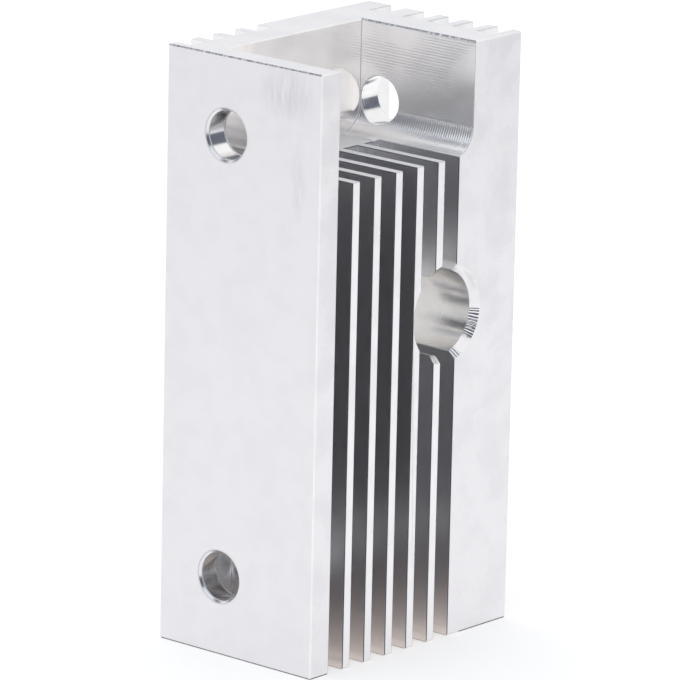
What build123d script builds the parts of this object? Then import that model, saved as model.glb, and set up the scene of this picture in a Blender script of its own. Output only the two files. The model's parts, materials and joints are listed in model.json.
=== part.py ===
from build123d import *
import os

# Hotend heat sink: one block of bright aluminium, machined from the solid.
# It stands on its end.  X runs across the narrow side, from the closed face to
# the slotted face.  Y runs through the thickness, from the plate that lies on
# the motor to the grooved rear face.  Z runs up the length.

# Overall block.  Its thickness follows from the slots, the ledge and the rear wall.
height = 42.0
width = 13.9
edge_break = 0.1

# Two M3 clearance holes through the thickness, spaced as on a 42 mm motor face
screw_spacing = 31.0
screw_hole_d = 3.4
screw_mouth_chamfer = 0.2
screw_to_pocket_wall = 0.1
screw_head_d = 6.0
screw_head_depth = 3.15

# Plate on the motor, then the cooling slots and the fins between them.
# Slots beside the bore are shallower, so that the bore keeps a full wall.
plate_t = 1.88
slot_w = 1.46
fin_t = 0.75
slot_count = 6
deep_slot_count = 4
closed_wall = 3.62
bore_wall_extra = 3.01

# Pocket cut down from the top end, open to the slotted face
pocket_depth = 7.9
pocket_ledge = 1.43
pocket_foot_r = 2.0
pocket_rim_break = 0.12
rear_wall = 4.93

# Smooth cross bore for the tube of the hot end
bore_d = 6.0
bore_chamfer = 0.5
bore_above_middle = 2.25
bore_into_slots = 0.92

# Grooves down the rear face: one, a wide tooth, then an even row
rear_groove_w = 1.38
rear_groove_depth = 2.35
rear_tooth_t = 0.84
rear_first_tooth = 2.08
rear_last_tooth = 0.74
rear_wide_tooth_least = 1.2

# Grooves down the closed face, beside the plate
side_groove_w = 1.5
side_groove_depth = 1.4
side_tooth_t = 0.717
side_lip = 0.81
side_groove_count = 4

# Sizes that follow from the ones above
slot_pitch = slot_w + fin_t
slots_end = plate_t + slot_count * slot_pitch - fin_t
pocket_end = slots_end + pocket_ledge
depth = pocket_end + rear_wall
pocket_floor = height - pocket_depth
bore_wall = closed_wall + bore_wall_extra
bore_r = bore_d / 2
bore_y = slots_end - bore_into_slots
bore_z = height / 2 + bore_above_middle
screw_r = screw_hole_d / 2
screw_x = closed_wall + screw_to_pocket_wall + screw_r
screw_heights = [(height - screw_spacing) / 2, (height + screw_spacing) / 2]
head_seat = depth - screw_head_depth
rear_floor = depth - rear_groove_depth
rear_pitch = rear_groove_w + rear_tooth_t
side_pitch = side_groove_w + side_tooth_t
rear_row_space = width - rear_first_tooth - rear_groove_w - rear_last_tooth - rear_wide_tooth_least
rear_row_count = int((rear_row_space + rear_tooth_t) // rear_pitch)
clear_of_block = height
touching = edge_break / 10


def block_between(x0, x1, y0, y1, z0, z1):
    """Return a plain box between the given limits."""
    middle = Pos((x0 + x1) / 2, (y0 + y1) / 2, (z0 + z1) / 2)
    return middle * Box(x1 - x0, y1 - y0, z1 - z0)


def rod_along_y(x, z, radius, y0, y1):
    """Return a round bar that runs along Y."""
    return Pos(x, (y0 + y1) / 2, z) * Rot(90, 0, 0) * Cylinder(radius, y1 - y0)


def rod_along_x(y, z, radius, x0, x1):
    """Return a round bar that runs along X."""
    return Pos((x0 + x1) / 2, y, z) * Rot(0, 90, 0) * Cylinder(radius, x1 - x0)


def mouth_cone(hole_r, break_size):
    """Return a cone that widens a hole along +Z, centred on the face it opens in."""
    return Cone(hole_r, hole_r + 2 * break_size, 2 * break_size)


# Blank with its outer edges broken
blank = block_between(0, width, 0, depth, 0, height)
blank = chamfer(blank.edges(), edge_break)

# Pocket with upright walls and a round foot along the rear wall
pocket = block_between(
    closed_wall,
    width + clear_of_block,
    plate_t,
    pocket_end,
    pocket_floor,
    height + clear_of_block,
)
pocket_foot = pocket.edges().filter_by(Axis.X).group_by(Axis.Z)[0].sort_by(Axis.Y)[-1]
pocket = fillet(pocket_foot, pocket_foot_r)
body = blank - pocket

# Broken rim where the pocket walls meet the top end
rim = body.edges().filter_by_position(Axis.Z, height - touching, height + touching)
rim = rim.filter_by(lambda edge: edge.center().X > closed_wall - touching)
rim = rim.filter_by(lambda edge: plate_t - touching < edge.center().Y < pocket_end + touching)
body = chamfer(rim, pocket_rim_break)

# Cooling slots from the open face.  They run out at the lower end and into the pocket.
for index in range(slot_count):
    slot_start = plate_t + index * slot_pitch
    wall = closed_wall if index < deep_slot_count else bore_wall
    body -= block_between(
        wall,
        width + clear_of_block,
        slot_start,
        slot_start + slot_w,
        -clear_of_block,
        pocket_floor + slot_w,
    )

# Grooves down the closed face
for index in range(side_groove_count):
    groove_start = side_lip + index * side_pitch
    body -= block_between(
        -clear_of_block,
        side_groove_depth,
        groove_start,
        groove_start + side_groove_w,
        -clear_of_block,
        height + clear_of_block,
    )

# Grooves down the rear face.  The even row is counted back from the open face.
rear_grooves = [rear_first_tooth]
for index in range(rear_row_count):
    rear_grooves.append(width - rear_last_tooth - rear_groove_w - index * rear_pitch)
for groove_start in rear_grooves:
    body -= block_between(
        groove_start,
        groove_start + rear_groove_w,
        rear_floor,
        depth + clear_of_block,
        -clear_of_block,
        height + clear_of_block,
    )

# Screw holes with a small countersink in the plate and a seat for the head at the rear
for screw_z in screw_heights:
    body -= rod_along_y(screw_x, screw_z, screw_r, -clear_of_block, depth + clear_of_block)
    body -= Pos(screw_x, 0, screw_z) * Rot(90, 0, 0) * mouth_cone(screw_r, screw_mouth_chamfer)
    body -= rod_along_y(screw_x, screw_z, screw_head_d / 2, head_seat, depth + clear_of_block)

# Cross bore, with both mouths chamfered
body -= rod_along_x(bore_y, bore_z, bore_r, -clear_of_block, width + clear_of_block)
body -= Pos(width, bore_y, bore_z) * Rot(0, 90, 0) * mouth_cone(bore_r, bore_chamfer)
body -= Pos(0, bore_y, bore_z) * Rot(0, -90, 0) * mouth_cone(bore_r, bore_chamfer)

# The origin is the middle of the lower end
heat_sink_block = Pos(-width / 2, -depth / 2, 0) * body.solids()[0]
heat_sink_block.label = "heat_sink_block"

os.makedirs("parts", exist_ok=True)
export_step(heat_sink_block, "parts/heat_sink_block.step")
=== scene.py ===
"""A hot end's heat sink as a dressed model: its machined finishes, the floor, the light and the camera."""

import json
import logging
import math
from dataclasses import dataclass
from enum import Enum

import bmesh
import bpy
import numpy as np
from mathutils import Matrix, Vector


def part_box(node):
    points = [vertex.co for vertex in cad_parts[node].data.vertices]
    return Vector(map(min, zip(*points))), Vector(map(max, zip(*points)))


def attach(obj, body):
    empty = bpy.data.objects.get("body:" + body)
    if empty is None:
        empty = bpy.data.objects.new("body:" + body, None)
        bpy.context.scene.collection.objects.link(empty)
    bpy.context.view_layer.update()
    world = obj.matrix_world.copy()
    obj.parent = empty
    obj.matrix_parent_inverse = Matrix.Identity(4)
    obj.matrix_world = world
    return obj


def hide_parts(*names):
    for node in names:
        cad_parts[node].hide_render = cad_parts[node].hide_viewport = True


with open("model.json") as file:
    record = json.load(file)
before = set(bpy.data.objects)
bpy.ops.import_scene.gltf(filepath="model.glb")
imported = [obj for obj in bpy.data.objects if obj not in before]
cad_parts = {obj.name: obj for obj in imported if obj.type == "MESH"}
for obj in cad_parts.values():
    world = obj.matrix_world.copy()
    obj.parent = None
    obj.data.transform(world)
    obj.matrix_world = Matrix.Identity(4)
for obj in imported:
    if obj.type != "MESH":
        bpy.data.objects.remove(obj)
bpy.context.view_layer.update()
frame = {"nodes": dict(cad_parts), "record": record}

log = logging.getLogger("heat_sink")

MM = 0.001
MOUNTS: dict[str, dict] = {mount["name"]: mount for mount in frame["record"]["mounts"]}

Colour = tuple[float, float, float]
Direction = tuple[float, float, float]
Point = tuple[float, float, float]
Size = tuple[float, float, float]

ACROSS_X: Direction = (1.0, 0.0, 0.0)
ACROSS_Y: Direction = (0.0, 1.0, 0.0)
ACROSS_Z: Direction = (0.0, 0.0, 1.0)
FORWARD: Direction = (0.0, -1.0, 0.0)
WHITE: Colour = (1.0, 1.0, 1.0)

# How a face lies to an axis is read from the part of its unit normal along that axis
SQUARE = 0.999  # From here on, the face is square to the axis
STEEP = 0.8  # Below this, it can be part of a wall or cone round the axis
CONE = 0.7071  # Near this, it is part of a 45 degree cone round the axis
CONE_SLACK = 0.05
TILTED = 0.5  # Above this, it is slanted to the axis or square to it
ALONG = 0.1  # Below this, it runs along the axis


class Surface(Enum):
    """The surfaces that a machinist would name on the block.

    The value is the material's place on the mesh.
    """

    PLATE_FACE = 0
    SIDE_EDGES = 1
    END_FACES = 2
    BACK_FACES = 3
    SLOT_WALLS = 4
    GROOVES = 5
    POCKET_REAR_WALL = 6
    POCKET_SIDE_WALL = 7
    POCKET_FLOOR = 8
    BORE_WALL = 9
    BORE_MOUTH = 10
    SCREW_HOLES = 11
    BROKEN_EDGES = 12
    HAIR_EDGES = 13
    POCKET_FOOT = 14
    FIN_EDGES = 15
    PLATE_INNER = 16
    SLOT_RIMS = 17
    HOLE_RIMS = 18
    HOLE_MOUTHS = 19


class Value:
    """A number in a shader. Python's operators on it add Math nodes."""

    def __init__(self, shader: "Shader", socket: bpy.types.NodeSocket) -> None:
        """Wrap a socket.

        Args:
            shader: The node tree's builder.
            socket: The output that carries the number.
        """
        self.shader = shader
        self.socket = socket

    def _math(self, operation: str, first: object, second: object = None) -> "Value":
        """Add one Math node.

        Args:
            operation: The node's operation.
            first: Its first input, a number or a Value.
            second: Its second input, where it has one.

        Returns:
            The node's result.
        """
        inputs = {0: first} if second is None else {0: first, 1: second}
        node = self.shader.add("ShaderNodeMath", {"operation": operation}, inputs)
        return Value(self.shader, node.outputs[0])

    def __add__(self, other: object) -> "Value":
        """Return self + other."""
        return self._math("ADD", self, other)

    def __sub__(self, other: object) -> "Value":
        """Return self - other."""
        return self._math("SUBTRACT", self, other)

    def __rsub__(self, other: object) -> "Value":
        """Return other - self."""
        return self._math("SUBTRACT", other, self)

    def __mul__(self, other: object) -> "Value":
        """Return self * other."""
        return self._math("MULTIPLY", self, other)

    def __pow__(self, other: object) -> "Value":
        """Return self raised to other."""
        return self._math("POWER", self, other)

    def __abs__(self) -> "Value":
        """Return the value without its sign."""
        return self._math("ABSOLUTE", self)

    def sine(self) -> "Value":
        """Return the sine of the value."""
        return self._math("SINE", self)

    def larger(self, other: object) -> "Value":
        """Return the larger of self and other."""
        return self._math("MAXIMUM", self, other)

    def turn(self, across: object) -> "Value":
        """Return the angle whose rise is self and whose run is across."""
        return self._math("ARCTAN2", self, across)

    def step(self, low: float, high: float) -> "Value":
        """Return a smooth step.

        Args:
            low: Where the step starts from 0.
            high: Where it reaches 1. It may be below low.

        Returns:
            The value carried from 0 to 1 on a smooth curve.
        """
        flip = high < low
        ends = (high, low) if flip else (low, high)
        node = self.shader.add(
            "ShaderNodeMapRange",
            {"interpolation_type": "SMOOTHSTEP"},
            {"Value": self, "From Min": ends[0], "From Max": ends[1]},
        )
        stepped = Value(self.shader, node.outputs["Result"])
        return 1.0 - stepped if flip else stepped


class Shader:
    """Builds one node tree, either a material's or the world's.

    Attributes:
        layer_share: How strong each finer layer of noise is, as a share of the one before.
    """

    layer_share = 0.55

    def __init__(self, tree: bpy.types.NodeTree) -> None:
        """Empty the tree and keep it.

        Args:
            tree: The node tree to fill.
        """
        tree.nodes.clear()
        self.tree = tree

    def add(self, kind: str, settings: dict[str, object], inputs: dict[object, object]) -> bpy.types.Node:
        """Add one node.

        Args:
            kind: The node's type.
            settings: Its own settings, set before its sockets.
            inputs: Its sockets by name or number, each a plain value, a Value or another node's output.

        Returns:
            The new node.
        """
        node = self.tree.nodes.new(kind)
        for name, setting in settings.items():
            setattr(node, name, setting)
        for key, given in inputs.items():
            if isinstance(given, Value):
                given = given.socket
            if isinstance(given, bpy.types.NodeSocket):
                self.tree.links.new(given, node.inputs[key])
            else:
                node.inputs[key].default_value = given
        return node

    def value(self, node: bpy.types.Node, output: str) -> Value:
        """Return one output of a node, by its name, as a Value."""
        return Value(self, node.outputs[output])

    def place(self) -> bpy.types.NodeSocket:
        """Return the point on the surface, in the object's own frame and in metres."""
        return self.add("ShaderNodeTexCoord", {}, {}).outputs["Object"]

    def along(self, vector: bpy.types.NodeSocket, direction: Direction) -> Value:
        """Return how far a vector reaches along a direction, as their dot product."""
        node = self.add("ShaderNodeVectorMath", {"operation": "DOT_PRODUCT"}, {0: vector, 1: direction})
        return self.value(node, "Value")

    def stretched(self, vector: bpy.types.NodeSocket, grain: Size) -> bpy.types.NodeSocket:
        """Scale a vector so that one unit of a pattern is as long as the grain on each axis.

        Args:
            vector: The place to scale.
            grain: The pattern's size along X, Y and Z, in metres.

        Returns:
            The scaled vector.
        """
        scale = tuple(1.0 / size for size in grain)
        node = self.add("ShaderNodeVectorMath", {"operation": "MULTIPLY"}, {0: vector, 1: scale})
        return node.outputs["Vector"]

    def noise(self, vector: bpy.types.NodeSocket, grain: Size, detail: float) -> Value:
        """Return soft noise about 0.5.

        Args:
            vector: The place that the noise is read at.
            grain: The size of its patches along X, Y and Z, in metres.
            detail: How many finer layers it has.

        Returns:
            The noise, from 0 to 1.
        """
        place = self.stretched(vector, grain)
        inputs = {"Vector": place, "Scale": 1.0, "Detail": detail, "Roughness": self.layer_share}
        return self.value(self.add("ShaderNodeTexNoise", {"noise_dimensions": "3D"}, inputs), "Fac")

    def blend(self, amount: object, first: object, second: object) -> bpy.types.NodeSocket:
        """Mix two colours.

        Args:
            amount: The share of the second colour.
            first: The first colour, or a socket with one.
            second: The second colour, or a socket with one.

        Returns:
            The mixed colour.
        """
        colours = [(*c, 1.0) if isinstance(c, tuple) and len(c) == 3 else c for c in (first, second)]
        # For colours, this node has its factor at 0, the two colours at 6 and 7, and its result at 2
        inputs = {0: amount, 6: colours[0], 7: colours[1]}
        return self.add("ShaderNodeMix", {"data_type": "RGBA"}, inputs).outputs[2]


@dataclass(frozen=True)
class ToolMarks:
    """Fine lines that a cutter leaves. They are ridges, dulled by noise, across one direction.

    Attributes:
        across: The direction across the lines.
        pitch: The distance from line to line, in metres.
        depth: The lines' height, in metres.
        run: How far one line keeps its height, in metres.
        even: The share of the height that repeats evenly. The rest is noise.
        keen: How narrow the even ridges are. 1 is a plain sine, and more leaves flat ground between them.
        worn: The size of the patches in which the even ridges come and go, in metres, or 0 where they stay.
        waver: How far noise shifts the ridges, as a turn of the sine, in radians.
        worn_step: The levels of noise between which the even ridges come and go.
    """

    across: Direction
    pitch: float
    depth: float
    run: float
    even: float
    keen: float = 1.0
    worn: float = 0.0
    waver: float = 2.5
    worn_step: tuple[float, float] = (0.38, 0.58)

    def height(self, shader: Shader, place: bpy.types.NodeSocket) -> Value:
        """Return the lines' height, from 0 to 1.

        Args:
            shader: The material's builder.
            place: The point on the surface.

        Returns:
            A sine across the lines, raised to the keenness and mixed with noise drawn out along them.
        """
        grain = tuple(self.run + (self.pitch - self.run) * abs(part) for part in self.across)
        streaks = shader.noise(place, grain, detail=3.0)
        turn = shader.along(place, self.across) * (2 * math.pi / self.pitch)
        ridges = ((turn + streaks * self.waver).sine() * 0.5 + 0.5) ** self.keen
        if self.worn:
            ridges = ridges * shader.noise(place, (self.worn,) * 3, detail=1.0).step(*self.worn_step)
        return ridges * self.even + streaks * (1 - self.even)


@dataclass(frozen=True)
class Chatter:
    """Short ridges that a shaking cutter leaves round a bore's mouth, in some arcs of it.

    Attributes:
        centre: The bore's middle along Y and Z, in metres.
        count: How many ridges a full turn would have.
        depth: The ridges' height, in metres.
        arcs: Where they are, each from one angle to another, in degrees from +Y towards +Z.
        tone: The colour that multiplies the metal's on the ridges. Where it is not white, it is a painted
            dark reflection on them.
        grain: The size of the noise that shakes them, in metres.
        waver: How far that noise shifts them, as a turn of the sine, in radians.
        fade: The angle over which they fade at an arc's ends, in radians.
    """

    centre: tuple[float, float]
    count: int
    depth: float
    arcs: tuple[tuple[float, float], ...]
    tone: Colour = WHITE
    grain: Size = (4 * MM, 0.5 * MM, 0.5 * MM)
    waver: float = 4.0
    fade: float = 0.05

    def cover(self, shader: Shader, place: bpy.types.NodeSocket) -> Value:
        """Return how strongly the painted reflection on the ridges shows at a place, which is their height.
        """
        return self.height(shader, place)

    def height(self, shader: Shader, place: bpy.types.NodeSocket) -> Value:
        """Return the ridges' height, from 0 to 1.

        Args:
            shader: The material's builder.
            place: The point on the surface.

        Returns:
            A sine of the angle round the bore, shaken by noise, kept inside the arcs.
        """
        side = shader.along(place, ACROSS_Y) - self.centre[0]
        up = shader.along(place, ACROSS_Z) - self.centre[1]
        angle = up.turn(side)
        shaken = shader.noise(place, self.grain, detail=2.0)
        ridges = (angle * float(self.count) + shaken * self.waver).sine() * 0.5 + 0.5
        inside = ridges * 0.0
        for start, end in self.arcs:
            low, high = math.radians(start), math.radians(end)
            inside = inside + angle.step(low, low + self.fade) * angle.step(high, high - self.fade)
        return ridges * inside


@dataclass(frozen=True)
class Rubbing:
    """A patch that handling has darkened a little by rubbing, in streaks along Z.

    Attributes:
        centre: Its middle, in metres.
        reach: Its half size along X, Y and Z, in metres.
        tone: The colour that it multiplies the metal's with.
        grain: The size of its streaks along X, Y and Z, in metres.
        edge: The shares of the reach at which it starts and is full.
        streak_step: The levels of noise between which a streak shows.
    """

    centre: Point
    reach: Size
    tone: Colour
    grain: Size = (0.25 * MM, 1.0 * MM, 1.6 * MM)
    edge: tuple[float, float] = (1.0, 0.2)
    streak_step: tuple[float, float] = (0.25, 0.7)

    def cover(self, shader: Shader, place: bpy.types.NodeSocket) -> Value:
        """Return how strongly the patch shows at a place.

        Args:
            shader: The material's builder.
            place: The point on the surface.

        Returns:
            1 in the middle of the patch and 0 outside it, broken up by noise that is drawn out along Z.
        """
        offset = shader.add("ShaderNodeVectorMath", {"operation": "SUBTRACT"}, {0: place, 1: self.centre})
        share = shader.stretched(offset.outputs["Vector"], self.reach)
        away = shader.add("ShaderNodeVectorMath", {"operation": "LENGTH"}, {0: share})
        streaks = shader.noise(place, self.grain, detail=3.0)
        return shader.value(away, "Value").step(*self.edge) * streaks.step(*self.streak_step)


@dataclass(frozen=True)
class MachinedFinish:
    """Bare aluminium as one cutter leaves it.

    Attributes:
        name: The material's name.
        tint: The metal's colour.
        roughness: How widely it scatters light.
        patchiness: How much the roughness changes from patch to patch.
        patch: The size of those patches, in metres.
        clouding: How much darker the dull patches are.
        bare: How much of it is bare metal. The rest is a pale skin that scatters light every way.
        marks: The tool marks on it, if they show.
        rubs_and_painted_reflections: The patches darkened by rubbing, and the painted dark reflections on
            chatter ridges.
        dull_step: The levels of noise between which a patch turns dull.
    """

    name: str
    tint: Colour
    roughness: float
    patchiness: float = 0.08
    patch: float = 2.5 * MM
    clouding: float = 0.04
    bare: float = 1.0
    marks: tuple[ToolMarks | Chatter, ...] = ()
    rubs_and_painted_reflections: tuple[Rubbing | Chatter, ...] = ()
    dull_step: tuple[float, float] = (0.35, 0.7)

    def material(self) -> bpy.types.Material:
        """Build the material.

        Returns:
            A metal whose colour and roughness drift in patches, under its tool marks.
        """
        made = bpy.data.materials.new(self.name)
        made.use_nodes = True
        shader = Shader(made.node_tree)
        place = shader.place()
        dull = shader.noise(place, (self.patch,) * 3, detail=3.0).step(*self.dull_step)
        darker = tuple(part * (1 - self.clouding) for part in self.tint)
        colour = shader.blend(dull, self.tint, darker)
        for patch in self.rubs_and_painted_reflections:
            toned = tuple(part * tone for part, tone in zip(self.tint, patch.tone))
            colour = shader.blend(patch.cover(shader, place), colour, toned)
        rough = dull * self.patchiness + self.roughness
        metal = {"Base Color": colour, "Roughness": rough, "Metallic": self.bare}
        normal = None
        for marks in self.marks:
            bump = {"Height": marks.height(shader, place), "Distance": marks.depth, "Strength": 1.0}
            if normal is not None:
                bump["Normal"] = normal
            normal = shader.add("ShaderNodeBump", {}, bump).outputs["Normal"]
        if normal is not None:
            metal["Normal"] = normal
        body = shader.add("ShaderNodeBsdfPrincipled", {}, metal)
        shader.add("ShaderNodeOutputMaterial", {}, {"Surface": body.outputs["BSDF"]})
        return made


# The metal's colours, as each cutter leaves it and as each wall shows it
OUTSIDE: Colour = (0.805, 0.79, 0.815)
SIDE: Colour = (0.83, 0.815, 0.84)
END: Colour = (0.79, 0.79, 0.825)
FIN_TIP: Colour = (0.87, 0.86, 0.88)
SAWN: Colour = (0.911, 0.91, 0.919)
MILLED: Colour = (0.88, 0.872, 0.878)
BORED: Colour = (0.89, 0.88, 0.872)
DRILLED: Colour = (0.93, 0.925, 0.925)
POCKET_REAR: Colour = (0.975, 0.976, 0.982)
POCKET_CLOSED: Colour = (0.86, 0.825, 0.815)
POCKET_PALE: Colour = (0.97, 0.97, 0.975)
# Near-white; on the screw holes' rims it is a painted highlight
BRIGHT_EDGE: Colour = (0.96, 0.96, 0.965)
# Near-black: a painted shade line along the slots' rims
SLOT_RIM_SHADE: Colour = (0.12, 0.12, 0.13)
# Dark bluish: a painted reflection, laid in stripes on the bore mouth's chatter
PAINTED_CHATTER_REFLECTION: Colour = (0.2, 0.25, 0.34)

BORE_MIDDLE: tuple[float, float] = tuple(MOUNTS["tube_bore"]["pos_m"][1:])

FINISHES: dict[Surface, MachinedFinish] = {
    Surface.PLATE_FACE: MachinedFinish(
        "plate_face_aluminium", OUTSIDE, roughness=0.28, patchiness=0.04, patch=1.4 * MM, clouding=0.02,
        marks=(ToolMarks(ACROSS_Z, 0.12 * MM, 0.0004 * MM, run=6 * MM, even=0.0),),
        rubs_and_painted_reflections=(
            Rubbing((3.9 * MM, -10.4 * MM, 40.2 * MM), (3.2 * MM, 4 * MM, 2.4 * MM), (0.84, 0.85, 0.86)),
            Rubbing((5.0 * MM, -10.4 * MM, 34.7 * MM), (0.9 * MM, 4 * MM, 4 * MM), (0.9, 0.9, 0.91)))),
    Surface.SIDE_EDGES: MachinedFinish("side_edge_aluminium", SIDE, roughness=0.24, clouding=0.02),
    Surface.FIN_EDGES: MachinedFinish("fin_edge_aluminium", FIN_TIP, roughness=0.22, clouding=0.02),
    Surface.END_FACES: MachinedFinish("end_face_aluminium", END, roughness=0.24, clouding=0.02),
    Surface.BACK_FACES: MachinedFinish("back_face_aluminium", OUTSIDE, roughness=0.28),
    Surface.SLOT_WALLS: MachinedFinish(
        "slot_wall_aluminium", SAWN, roughness=0.2, patchiness=0.06,
        marks=(ToolMarks(ACROSS_X, 0.3 * MM, 0.003 * MM, run=20 * MM, even=0.1),)),
    Surface.GROOVES: MachinedFinish("groove_aluminium", SAWN, roughness=0.2),
    Surface.POCKET_REAR_WALL: MachinedFinish(
        "pocket_rear_wall_aluminium", POCKET_REAR, roughness=0.14, patchiness=0.05, bare=0.75,
        marks=(ToolMarks(ACROSS_Z, 0.2 * MM, 0.0055 * MM, run=8 * MM, even=0.8, keen=4.0, worn=3.5 * MM),)),
    Surface.POCKET_SIDE_WALL: MachinedFinish(
        "pocket_side_wall_aluminium", POCKET_CLOSED, roughness=0.1,
        marks=(ToolMarks(ACROSS_Y, 0.6 * MM, 0.005 * MM, run=8 * MM, even=0.1),)),
    Surface.PLATE_INNER: MachinedFinish(
        "plate_inner_aluminium", POCKET_PALE, roughness=0.08, patchiness=0.04),
    Surface.POCKET_FLOOR: MachinedFinish(
        "pocket_floor_aluminium", POCKET_PALE, roughness=0.5, patchiness=0.1, bare=0.1,
        marks=(ToolMarks(ACROSS_X, 0.28 * MM, 0.004 * MM, run=3 * MM, even=0.4),)),
    Surface.POCKET_FOOT: MachinedFinish(
        "pocket_foot_aluminium", POCKET_PALE, roughness=0.1, patchiness=0.05, bare=0.7,
        marks=(ToolMarks(ACROSS_X, 0.2 * MM, 0.018 * MM, run=1.2 * MM, even=0.6, keen=2.0),)),
    Surface.BORE_WALL: MachinedFinish(
        "bore_aluminium", BORED, roughness=0.16,
        marks=(
            ToolMarks(ACROSS_X, 0.25 * MM, 0.0035 * MM, run=8 * MM, even=0.4),
            ToolMarks(ACROSS_Z, 0.35 * MM, 0.004 * MM, run=20 * MM, even=0.0))),
    Surface.BORE_MOUTH: MachinedFinish(
        "bore_mouth_aluminium", MILLED, roughness=0.1,
        marks=(Chatter(BORE_MIDDLE, 96, 0.016 * MM, ((-38.0, -3.0),)),),
        rubs_and_painted_reflections=(
            # Stripes of painted dark reflection on the chatter of the mouth's lower arc, with no bump under
            # them
            Chatter(BORE_MIDDLE, 88, 0.0, ((-78.0, -61.0),), PAINTED_CHATTER_REFLECTION),
            Rubbing((6.9 * MM, 4.7 * MM, 26.1 * MM), (5 * MM, 5 * MM, 5 * MM), (0.82, 0.82, 0.83)))),
    Surface.SCREW_HOLES: MachinedFinish(
        "screw_hole_aluminium", DRILLED, roughness=0.14,
        marks=(ToolMarks(ACROSS_Y, 0.22 * MM, 0.006 * MM, run=3 * MM, even=0.5, keen=2.0),)),
    # Near-white and mostly diffuse: a painted highlight ring in place of an edge break where each screw hole
    # leaves the plate
    Surface.HOLE_RIMS: MachinedFinish("screw_hole_rim_aluminium", BRIGHT_EDGE, roughness=0.6, bare=0.1),
    Surface.HOLE_MOUTHS: MachinedFinish("screw_hole_mouth_aluminium", OUTSIDE, roughness=0.16),
    Surface.BROKEN_EDGES: MachinedFinish(
        "broken_edge_aluminium", MILLED, roughness=0.12,
        marks=(ToolMarks(ACROSS_X, 0.35 * MM, 0.045 * MM, run=3 * MM, even=0.0),)),
    Surface.HAIR_EDGES: MachinedFinish("hair_edge_aluminium", BRIGHT_EDGE, roughness=0.5, bare=0.2),
    # The slots' rims: a painted dark shade line beside the fin edges
    Surface.SLOT_RIMS: MachinedFinish("slot_rim_aluminium", SLOT_RIM_SHADE, roughness=0.4),
}


@dataclass(frozen=True)
class RoundWall:
    """A bored, drilled or rounded wall.

    Attributes:
        centre: A point on its axis, in metres.
        axis: The direction of its axis.
        radius: Its radius, in metres.
        surfaces: The surfaces that it is part of.
        slack: How far a corner may be off the radius, as a share of it.
        agreement: How well the true normal and the face's agree at the least, as their dot product.
    """

    centre: Point
    axis: Direction
    radius: float
    surfaces: tuple[Surface, ...]
    slack: float = 0.2
    agreement: float = 0.9


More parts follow.
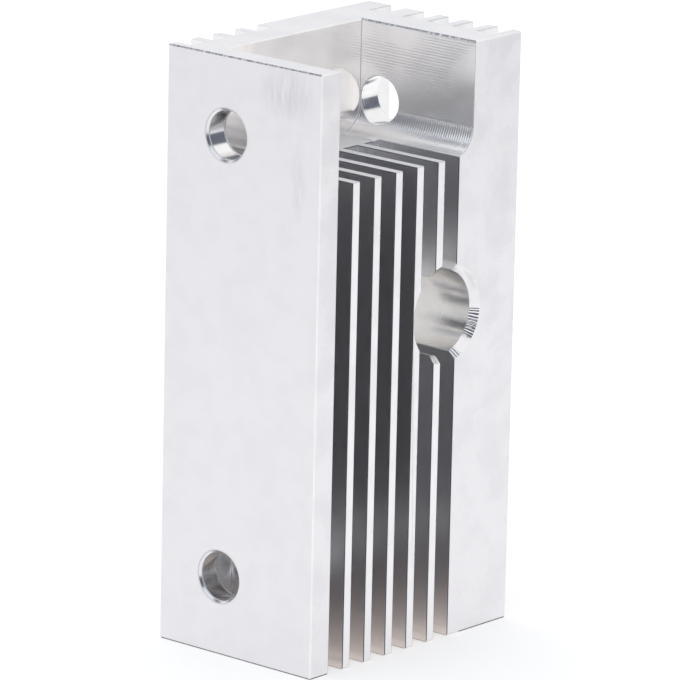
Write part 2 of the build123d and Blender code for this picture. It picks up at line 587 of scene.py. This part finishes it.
@dataclass(frozen=True)
class FinnedBlock:
    """The block itself, with each surface in its own finish.

    Attributes:
        node: The CAD node that it stands for.
        body: The body that it rides on.
        merge: The distance within which the CAD mesh's loose corners are one, in metres.
        sliver: The width under which a face is taken out of the finished mesh, in metres.
        flat_within: The angle under which two triangles are parts of one flat face, in radians.
        crease: The angle from which an edge is sharp, in radians.
        near: How near a face is to a plane to lie in it, in metres.
        pocket_floor: The pocket floor's height, in metres.
        pocket_side: Where the pocket's closed side wall is, along X, in metres.
        plate_back: Where the plate's inner face is, along Y, in metres.
        pocket_rear: Where the pocket's rear wall is, along Y, in metres.
        last_fin: Where the fins end, along Y, in metres.
        head_seat: Where the screw heads' seats end, along Y, in metres.
        head_r: The radius of those seats, in metres.
        seat_reach: How far from a screw hole's axis the faces of its seat are, in metres.
        foot_r: The radius of the pocket's foot, in metres.
        hair: How far every sharp edge is broken, in metres.
        rim_highlight: How wide the painted highlight ring is where a screw hole leaves the plate, in metres.
        outer: How near the outline a slanted face is to be one of its broken edges, in metres.
        wall_share: How far out a round wall's faces are looked for, as a share of its radius.
        mouth_share: How far out its mouth's faces are, as a share of it.
        tiny: A length that keeps a division from failing, in metres.
        bored: The surfaces that the cross bore is made of.
        drilled: The surfaces that the screw holes are made of.
    """

    node: str = "heat_sink_block"
    body: str = "root"
    merge: float = 0.002 * MM
    sliver: float = 0.0005 * MM
    flat_within: float = math.radians(0.5)
    crease: float = math.radians(35)
    near: float = 0.02 * MM
    pocket_floor: float = 34.1 * MM
    pocket_side: float = -3.33 * MM
    plate_back: float = -8.495 * MM
    pocket_rear: float = 5.445 * MM
    last_fin: float = 2.5 * MM
    head_seat: float = 7.225 * MM
    head_r: float = 3.0 * MM
    seat_reach: float = 3.23 * MM
    foot_r: float = 2.0 * MM
    hair: float = 0.045 * MM
    rim_highlight: float = 0.22 * MM
    outer: float = 0.2 * MM
    wall_share: float = 1.01
    mouth_share: float = 1.2
    tiny: float = 1e-9
    bored: tuple[Surface, ...] = (Surface.BORE_WALL, Surface.BORE_MOUTH)
    drilled: tuple[Surface, ...] = (Surface.SCREW_HOLES, Surface.HOLE_RIMS, Surface.HOLE_MOUTHS)

    def screw_axes(self) -> list[tuple[float, float]]:
        """Return where the two screw holes are, along X and Z."""
        screws = MOUNTS["motor_screws"]
        half = screws["dims"]["spacing_y_mm"] / 2 * MM
        x, _, z = screws["pos_m"]
        return [(x, z - half), (x, z + half)]

    def screw_hole_r(self) -> float:
        """Return the screw holes' radius."""
        return MOUNTS["motor_screws"]["dims"]["hole_r_mm"] * MM

    def bore_r(self) -> float:
        """Return the cross bore's radius."""
        return MOUNTS["tube_bore"]["dims"]["r_mm"] * MM

    def shell(self) -> bmesh.types.BMesh:
        """Merge a copy of the CAD mesh and join its flat triangles, then cut it where the finish changes.

        Returns:
            A closed shell, cut level with the pocket's floor, and round each screw hole near the plate's
            inner face.
        """
        shell = bmesh.new()
        shell.from_mesh(frame["nodes"][self.node].data)
        bmesh.ops.remove_doubles(shell, verts=shell.verts[:], dist=self.merge)
        bmesh.ops.dissolve_limit(
            shell, angle_limit=self.flat_within, verts=shell.verts[:], edges=shell.edges[:]
        )
        self.cut(shell, shell.faces[:], (0.0, 0.0, self.pocket_floor), ACROSS_Z)
        reach = self.screw_hole_r() * self.wall_share
        for x, z in self.screw_axes():
            middles = [face.calc_center_median() for face in shell.faces]
            walls = [
                face for face, middle in zip(shell.faces, middles)
                if math.hypot(middle.x - x, middle.z - z) < reach and abs(face.normal.y) < ALONG
            ]
            self.cut(shell, walls, (0.0, self.plate_back - self.rim_highlight, 0.0), ACROSS_Y)
        return shell

    def cut(
        self, shell: bmesh.types.BMesh, faces: list[bmesh.types.BMFace], point: Point, across: Direction
    ) -> None:
        """Divide some faces along a plane, and take nothing away.

        Args:
            shell: The shell.
            faces: The faces to divide.
            point: A point on the plane.
            across: The direction square to the plane.
        """
        edges = list(dict.fromkeys(edge for face in faces for edge in face.edges))
        corners = list(dict.fromkeys(corner for face in faces for corner in face.verts))
        given = corners + edges + faces
        bmesh.ops.bisect_plane(shell, geom=given, dist=self.merge, plane_co=point, plane_no=across)

    def soften(self, mesh: bpy.types.Mesh) -> None:
        """Break every sharp edge by a hair, as a deburring pad does, but not those that a cutter broke.

        Args:
            mesh: The block's mesh, with its finishes given out. New faces take the hair edges' finish, and
                those along the slots take the slots' rims' finish, a painted dark shade line.
        """
        shell = bmesh.new()
        shell.from_mesh(mesh)
        cut = {Surface.BROKEN_EDGES.value, Surface.BORE_MOUTH.value}
        kinds = {edge: {face.material_index for face in edge.link_faces} for edge in shell.edges}
        sharp = [
            edge for edge in shell.edges
            if edge.calc_face_angle(0.0) > self.crease and not kinds[edge] & cut
        ]
        slot = Surface.SLOT_WALLS.value
        plain = {slot, Surface.SCREW_HOLES.value, Surface.HOLE_RIMS.value, Surface.BORE_WALL.value}
        rims = [edge for edge in sharp if slot in kinds[edge] and not kinds[edge] <= plain]
        ends = np.array([[tuple(corner.co) for corner in edge.verts] for edge in rims])
        made = bmesh.ops.bevel(
            shell,
            geom=sharp,
            offset=self.hair,
            segments=3,
            profile=0.5,
            affect="EDGES",
            clamp_overlap=False,
            material=Surface.HAIR_EDGES.value,
        )["faces"]
        near = self.beside(np.array([tuple(face.calc_center_median()) for face in made]), ends)
        for face in (face for face, beside in zip(made, near) if beside):
            face.material_index = Surface.SLOT_RIMS.value
        bmesh.ops.triangulate(shell, faces=[face for face in shell.faces if len(face.verts) > 4])
        bmesh.ops.dissolve_degenerate(shell, dist=self.sliver, edges=shell.edges[:])
        shell.to_mesh(mesh)
        shell.free()

    def beside(self, points: np.ndarray, ends: np.ndarray) -> np.ndarray:
        """Say which points lie along some of the straight edges.

        Args:
            points: The points, one row each.
            ends: The edges, as one row of two ends each.

        Returns:
            True for a point whose nearest place on any edge, the foot of its upright kept between the
            edge's ends, is within a broken edge's width.
        """
        start, run = ends[:, 0], ends[:, 1] - ends[:, 0]
        offset = points[:, None] - start[None]
        share = np.sum(offset * run, axis=2) / np.maximum(np.sum(run * run, axis=1), self.tiny**2)
        offset -= np.clip(share, 0, 1)[..., None] * run
        return np.linalg.norm(offset, axis=2).min(axis=1) < self.hair

    def shade(self, mesh: bpy.types.Mesh) -> None:
        """Give each corner the true normal of its surface: flat, or square to a round wall's axis.

        The normal keeps the face's share along the wall's axis, so a cone's stays slanted. The rest of it
        is the unit line between the axis and the corner, with the sign that agrees with the face.

        Args:
            mesh: The block's finished mesh.
        """
        faces, corners = len(mesh.polygons), len(mesh.loops)
        normal, kind = np.zeros(faces * 3, np.float32), np.zeros(faces, np.int32)
        total, corner_vertex = np.zeros(faces, np.int32), np.zeros(corners, np.int32)
        place = np.zeros(len(mesh.vertices) * 3, np.float32)
        mesh.polygons.foreach_get("normal", normal)
        mesh.polygons.foreach_get("material_index", kind)
        mesh.polygons.foreach_get("loop_total", total)
        mesh.loops.foreach_get("vertex_index", corner_vertex)
        mesh.vertices.foreach_get("co", place)
        owner = np.repeat(np.arange(faces), total)
        flat = normal.reshape(-1, 3).astype(float)[owner]
        at = place.reshape(-1, 3).astype(float)[corner_vertex]
        kind = kind[owner]
        made = flat.copy()
        for wall in self.round_walls():
            along = np.array(wall.axis, float)
            away = at - np.array(wall.centre)
            away -= np.outer(away @ along, along)
            reach = np.linalg.norm(away, axis=1)
            outward = away / np.maximum(reach, self.tiny)[:, None]
            outward *= np.sign(np.sum(outward * flat, axis=1))[:, None]
            lean = flat @ along
            true = outward * np.sqrt(np.maximum(1 - lean**2, 0))[:, None] + lean[:, None] * along
            here = np.isin(kind, [surface.value for surface in wall.surfaces])
            here &= np.abs(lean) < STEEP
            here &= np.abs(reach - wall.radius) < wall.radius * wall.slack
            here &= np.sum(true * flat, axis=1) > wall.agreement
            made[here] = true[here]
        mesh.shade_smooth()
        mesh.normals_split_custom_set(made.tolist())

    def round_walls(self) -> list[RoundWall]:
        """Return the block's round walls, placed by the record's mounts."""
        walls = [RoundWall(tuple(MOUNTS["tube_bore"]["pos_m"]), ACROSS_X, self.bore_r(), self.bored)]
        for x, z in self.screw_axes():
            for radius in (self.screw_hole_r(), self.head_r):
                walls.append(RoundWall((x, 0.0, z), ACROSS_Y, radius, self.drilled))
        foot = (0.0, self.pocket_rear - self.foot_r, self.pocket_floor + self.foot_r)
        walls.append(RoundWall(foot, ACROSS_X, self.foot_r, (Surface.POCKET_FOOT,)))
        return walls

    def surfaces(self, mesh: bpy.types.Mesh) -> np.ndarray:
        """Say which surface each face belongs to, from where it lies and which way it points.

        Args:
            mesh: The block's mesh.

        Returns:
            One Surface value for each face.
        """
        count = len(mesh.polygons)
        centre = np.zeros(count * 3, np.float32)
        normal = np.zeros(count * 3, np.float32)
        mesh.polygons.foreach_get("center", centre)
        mesh.polygons.foreach_get("normal", normal)
        centre, normal = centre.reshape(-1, 3).astype(float), normal.reshape(-1, 3).astype(float)
        low, high = (np.array(corner, float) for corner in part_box(self.node))
        x, y, z = centre.T
        level = np.abs(normal)
        flat = level.max(axis=1) > SQUARE
        found = np.full(count, Surface.GROOVES.value)

        inside = (x > self.pocket_side - self.near) & (y < self.pocket_rear + self.near)
        inside &= y > self.plate_back - self.near
        above = z > self.pocket_floor - self.near
        found[inside & ~above] = Surface.SLOT_WALLS.value
        pocket = inside & above
        found[pocket] = Surface.POCKET_FLOOR.value
        found[pocket & (level[:, 1] > SQUARE) & (y < 0)] = Surface.PLATE_INNER.value
        found[pocket & (normal[:, 0] > SQUARE)] = Surface.POCKET_SIDE_WALL.value
        found[pocket & (normal[:, 1] < -SQUARE) & (y > 0)] = Surface.POCKET_REAR_WALL.value
        found[pocket & ~flat & (level[:, 0] < ALONG)] = Surface.POCKET_FOOT.value

        found[np.abs(y - low[1]) < self.near] = Surface.PLATE_FACE.value
        open_side = np.abs(x - high[0]) < self.near
        found[open_side] = Surface.SIDE_EDGES.value
        found[open_side & (y > self.plate_back + self.near) & (y < self.last_fin)] = Surface.FIN_EDGES.value
        ends = (np.abs(z - low[2]) < self.near) | (np.abs(z - high[2]) < self.near)
        found[ends] = Surface.END_FACES.value
        back = (np.abs(y - high[1]) < self.near) | (np.abs(x - low[0]) < self.near)
        found[back] = Surface.BACK_FACES.value

        hole = self.screw_hole_r()
        for screw_x, screw_z in self.screw_axes():
            away = np.hypot(x - screw_x, z - screw_z)
            wall = (away < hole * self.mouth_share) & (level[:, 1] < STEEP)
            seat = (away < self.seat_reach) & (y > self.head_seat - self.near)
            found[wall | (seat & (y < high[1] - self.near))] = Surface.SCREW_HOLES.value
            # The painted highlight ring round each screw hole, next to the plate's inner face
            rim = (y > self.plate_back - self.rim_highlight) & (y < self.plate_back)
            found[wall & rim] = Surface.HOLE_RIMS.value
            found[wall & (level[:, 1] > TILTED)] = Surface.HOLE_MOUTHS.value
        away = np.hypot(y - BORE_MIDDLE[0], z - BORE_MIDDLE[1])
        wall = (away < self.bore_r() * self.wall_share) & (level[:, 0] < ALONG)
        cone = (away < self.bore_r() * self.mouth_share) & (np.abs(level[:, 0] - CONE) < CONE_SLACK)
        found[wall] = Surface.BORE_WALL.value
        found[cone] = Surface.BORE_MOUTH.value

        cut_round = [surface.value for surface in (*self.bored, *self.drilled)]
        broken = (np.sort(level, axis=1)[:, 1] > TILTED) & ~np.isin(found, cut_round)
        outer = np.minimum(centre - low, high - centre).min(axis=1) < self.outer
        found[broken & outer] = Surface.BROKEN_EDGES.value
        return found

    def build(self) -> bpy.types.Object:
        """Make the block, dress it and put it in the CAD node's place.

        Returns:
            The block.
        """
        mesh = bpy.data.meshes.new("finned_block")
        shell = self.shell()
        shell.to_mesh(mesh)
        shell.free()
        for surface in sorted(Surface, key=lambda each: each.value):
            mesh.materials.append(FINISHES[surface].material())
        found = self.surfaces(mesh)
        mesh.polygons.foreach_set("material_index", found.astype(np.int32))
        mesh.update()
        self.soften(mesh)
        self.shade(mesh)
        block = bpy.data.objects.new("finned_block", mesh)
        bpy.context.scene.collection.objects.link(block)
        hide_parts(self.node)
        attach(block, self.body)
        counts = {surface.name: int((found == surface.value).sum()) for surface in Surface}
        log.info("finned block: %d faces, %s", len(mesh.polygons), counts)
        return block


@dataclass(frozen=True)
class Flag:
    """A dark card hung in the room, which the bright metal mirrors. It fills a rectangle of directions.

    Attributes:
        bearing: The direction of its middle round the block, in degrees from +X towards +Y.
        height: Its middle's height angle, in degrees.
        half_width: Half its width, in degrees.
        half_height: Half its height, in degrees.
        colour: The light that comes from it.
        edge: The shares of its half size between which its soft edge lies.
        onset: The cosine to its middle up to which it is kept from showing, so that it has no double behind.
    """

    bearing: float
    height: float
    half_width: float
    half_height: float
    colour: Colour
    edge: tuple[float, float] = (1.12, 0.88)
    onset: float = 0.05

    def cover(self, shader: Shader, towards: bpy.types.NodeSocket) -> Value:
        """Say where the card is.

        Args:
            shader: The world's builder.
            towards: The direction looked in.

        Returns:
            1 on the card and 0 off it, with a soft edge. It follows from the larger of the two offsets
            from the card's middle, sideways and upwards, each as a share of its half size.
        """
        turn, rise = math.radians(self.bearing), math.radians(self.height)
        middle = (math.cos(turn) * math.cos(rise), math.sin(turn) * math.cos(rise), math.sin(rise))
        aside = (-math.sin(turn), math.cos(turn), 0.0)
        upward = tuple(Vector(middle).cross(Vector(aside)))
        sideways = abs(shader.along(towards, aside)) * (1 / math.sin(math.radians(self.half_width)))
        upwards = abs(shader.along(towards, upward)) * (1 / math.sin(math.radians(self.half_height)))
        before = shader.along(towards, middle).step(0.0, self.onset)
        return sideways.larger(upwards).step(*self.edge) * before


CAMERA_SIDE = Flag(2, 17, 66, 21.5, (0.13, 0.14, 0.18))
FLAGS = (CAMERA_SIDE, Flag(-146, 51, 15, 7.5, (0.24, 0.26, 0.31)))


@dataclass(frozen=True)
class Studio:
    """The floor and the light around the block: a pale room with dark cards in it.

    Attributes:
        block: The block that stands on the floor.
        reach: Half the floor's side, in metres.
        drop: How far the floor lies below the block's foot, so that the two don't fight, in metres.
        paper: The floor's colour under diffuse light.
        lift: How much the floor shines to the camera, so that it shows white.
        mirrored_paper: The floor's colour under diffuse light, as the metal mirrors it.
        mirrored_lift: How much the floor shines in the metal near the block, and far from it.
        lift_turns: The distances from the block between which that shine changes, in metres.
        paper_end: How far the pale paper reaches towards the camera, as the metal mirrors it, in metres.
        paper_fade: How far before and after its ends the paper fades, as a share of that reach.
        paper_side: How far before and after its sides the paper fades, in metres.
        shade: The share of the floor's shine that is left between the fins, in the metal and to the camera.
        shade_tint: That light's colour, in the metal and to the camera.
        shade_edge: How soft that shade's edge is, in metres.
        sky: The light from behind and overhead.
        front: The light from the front.
        front_step: The parts of a direction towards the front between which the light changes.
        bounces: How often light may bounce, since the slots are deep and bright.
    """

    block: FinnedBlock
    reach: float = 1.5
    drop: float = 0.01 * MM
    paper: Colour = (0.62, 0.62, 0.62)
    lift: float = 0.55
    mirrored_paper: Colour = (0.38, 0.38, 0.38)
    mirrored_lift: tuple[float, float] = (0.76, 0.68)
    lift_turns: tuple[float, float] = (80 * MM, 220 * MM)
    paper_end: float = 400 * MM
    paper_fade: float = 0.15
    paper_side: float = 10 * MM
    shade: tuple[float, float] = (0.74, 1.12)
    shade_tint: tuple[Colour, Colour] = ((1.0, 0.87, 0.8), (1.0, 0.97, 0.955))
    shade_edge: float = 0.1 * MM
    sky: Colour = WHITE
    front: Colour = (0.9, 0.95, 1.0)
    front_step: tuple[float, float] = (0.1, 0.6)
    bounces: int = 24

    def floor(self) -> bpy.types.Object:
        """Lay the floor as one square sheet.

        Returns:
            The floor.
        """
        side = np.array([-self.reach, self.reach])
        x, y = np.meshgrid(side, side)
        corners = np.stack([x.ravel(), y.ravel(), np.full(4, -self.drop)], axis=1)
        mesh = bpy.data.meshes.new("studio_floor")
        mesh.from_pydata(corners.tolist(), [], [(0, 1, 3, 2)])
        mesh.materials.append(self.paper_material())
        sheet = bpy.data.objects.new("studio_floor", mesh)
        bpy.context.scene.collection.objects.link(sheet)
        return sheet

    def paper_material(self) -> bpy.types.Material:
        """Build the floor's material: pale paper that shows white and keeps the block's shadow.

        Returns:
            The material. Past the paper's end, the metal mirrors the dark of the camera's side.
        """
        made = bpy.data.materials.new("pale_paper")
        made.use_nodes = True
        shader = Shader(made.node_tree)
        rays = shader.add("ShaderNodeLightPath", {}, {})
        mirrored = shader.value(rays, "Is Glossy Ray") + shader.value(rays, "Is Transmission Ray")
        place = shader.place()
        tone = shader.blend(mirrored, self.paper, self.mirrored_paper)
        plain = shader.add("ShaderNodeBsdfDiffuse", {}, {"Color": tone})
        away = shader.add("ShaderNodeVectorMath", {"operation": "LENGTH"}, {0: place})
        near, far = self.mirrored_lift
        fall = shader.value(away, "Value").step(*self.lift_turns) * (far - near) + near
        under, between = self.shade_under(shader, place)
        in_metal, to_camera = self.shade
        shown = shader.value(rays, "Is Camera Ray") * self.lift * (1.0 - under + between * to_camera)
        seen = shown + mirrored * fall * (1.0 - under + between * in_metal)
        shaded = shader.blend(mirrored, self.shade_tint[1], self.shade_tint[0])
        light = shader.blend(between, WHITE, shaded)
        glow = shader.add("ShaderNodeEmission", {}, {"Color": light, "Strength": seen})
        both = shader.add("ShaderNodeAddShader", {}, {0: plain.outputs[0], 1: glow.outputs[0]})
        dark = shader.add("ShaderNodeEmission", {}, {"Color": (*CAMERA_SIDE.colour, 1.0), "Strength": 1.0})
        cover = {0: self.past_paper(shader, place) * mirrored, 1: both.outputs[0], 2: dark.outputs[0]}
        floor = shader.add("ShaderNodeMixShader", {}, cover)
        shader.add("ShaderNodeOutputMaterial", {}, {"Surface": floor.outputs[0]})
        return made

    def past_paper(self, shader: Shader, place: bpy.types.NodeSocket) -> Value:
        """Say where the floor lies past the pale paper's end, on the camera's side.

        Args:
            shader: The floor's material builder.
            place: The point on the floor.

        Returns:
            1 past the paper, within the angle that the dark card fills, and 0 elsewhere.
        """
        turn = math.radians(CAMERA_SIDE.bearing)
        ahead = shader.along(place, (math.cos(turn), math.sin(turn), 0.0))
        aside = abs(shader.along(place, (-math.sin(turn), math.cos(turn), 0.0)))
        spread = ahead * math.tan(math.radians(CAMERA_SIDE.half_width)) - aside
        ends = (self.paper_end * (1 - self.paper_fade), self.paper_end * (1 + self.paper_fade))
        return ahead.step(*ends) * spread.step(-self.paper_side, self.paper_side)

    def shade_under(self, shader: Shader, place: bpy.types.NodeSocket) -> tuple[Value, Value]:
        """Say where the floor lies under the block, and where it lies between its fins.

        Args:
            shader: The floor's material builder.
            place: The point on the floor.

        Returns:
            1 inside the block's outline, and 1 inside the part of it that the slots take up.
        """
        x, y = shader.along(place, ACROSS_X), shader.along(place, ACROSS_Y)
        (low_x, low_y, _), (high_x, high_y, _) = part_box(self.block.node)
        soft = self.shade_edge
        under = x.step(low_x, low_x + soft) * x.step(high_x, high_x - soft)
        under = under * y.step(low_y, low_y + soft) * y.step(high_y, high_y - soft)
        start, end = self.block.plate_back, self.block.pocket_rear
        between = under * x.step(self.block.pocket_side, self.block.pocket_side + soft)
        return under, between * y.step(start, start + soft) * y.step(end, end - soft)

    def light(self) -> None:
        """Light the room from its directions, and show white where the camera looks past the floor."""
        world = bpy.data.worlds.new("studio_light")
        world.use_nodes = True
        bpy.context.scene.world = world
        shader = Shader(world.node_tree)
        towards = shader.add("ShaderNodeTexCoord", {}, {}).outputs["Generated"]
        forward = shader.along(towards, FORWARD)
        light = shader.blend(forward.step(*self.front_step), self.sky, self.front)
        for flag in FLAGS:
            light = shader.blend(flag.cover(shader, towards), light, flag.colour)
        rays = shader.add("ShaderNodeLightPath", {}, {})
        shown = shader.blend(shader.value(rays, "Is Camera Ray"), light, WHITE)
        back = shader.add("ShaderNodeBackground", {}, {"Color": shown, "Strength": 1.0})
        shader.add("ShaderNodeOutputWorld", {}, {"Surface": back.outputs[0]})

    def build(self) -> None:
        """Lay the floor, light the room and let the light bounce often enough."""
        self.floor()
        self.light()
        cycles = bpy.context.scene.cycles
        cycles.max_bounces = cycles.glossy_bounces = self.bounces
        log.info("studio: floor %.1f m across, %d flags", 2 * self.reach, len(FLAGS))


@dataclass(frozen=True)
class PhotoCamera:
    """The camera at the photograph's place. It was solved on the block's straight edges.

    Attributes:
        azimuth: Its turn round the block from the front, in degrees.
        elevation: Its height angle above the level, in degrees.
        roll: Its turn about its own line of sight, in degrees.
        distance: Its distance from the aim, in metres.
        aim: The point that it looks at.
        lens: Its focal length, in millimetres.
        sensor: Its sensor's width, in millimetres.
        clip: The distances between which it sees, in metres.
    """

    azimuth: float = 40.835
    elevation: float = 14.659
    roll: float = 1.245
    distance: float = 0.45963
    aim: Point = (0.0000114, 0.0000123, 0.0206689)
    lens: float = 353.2
    sensor: float = 36.0
    clip: tuple[float, float] = (0.01, 20.0)

    def build(self) -> bpy.types.Object:
        """Place the camera.

        Returns:
            The camera.
        """
        turn, rise, roll = (math.radians(angle) for angle in (self.azimuth, self.elevation, self.roll))
        back = Vector((math.sin(turn) * math.cos(rise), -math.cos(turn) * math.cos(rise), math.sin(rise)))
        right = (-back).cross(Vector(ACROSS_Z)).normalized()
        up = back.cross(right)
        across = right * math.cos(roll) + up * math.sin(roll)
        upright = up * math.cos(roll) - right * math.sin(roll)
        data = bpy.data.cameras.new("photo_camera")
        data.lens, data.sensor_width = self.lens, self.sensor
        data.clip_start, data.clip_end = self.clip
        camera = bpy.data.objects.new("photo_camera", data)
        bpy.context.scene.collection.objects.link(camera)
        place = Matrix((across, upright, back)).transposed().to_4x4()
        place.translation = Vector(self.aim) + back * self.distance
        camera.matrix_world = place
        bpy.context.scene.camera = camera
        return camera


def main() -> None:
    """Build the block, the studio and the camera."""
    logging.basicConfig(level=logging.INFO, format="%(name)s: %(message)s")
    block = FinnedBlock()
    block.build()
    Studio(block).build()
    PhotoCamera().build()
    bpy.context.scene.view_settings.view_transform = "Standard"


if __name__ == "__main__":
    main()
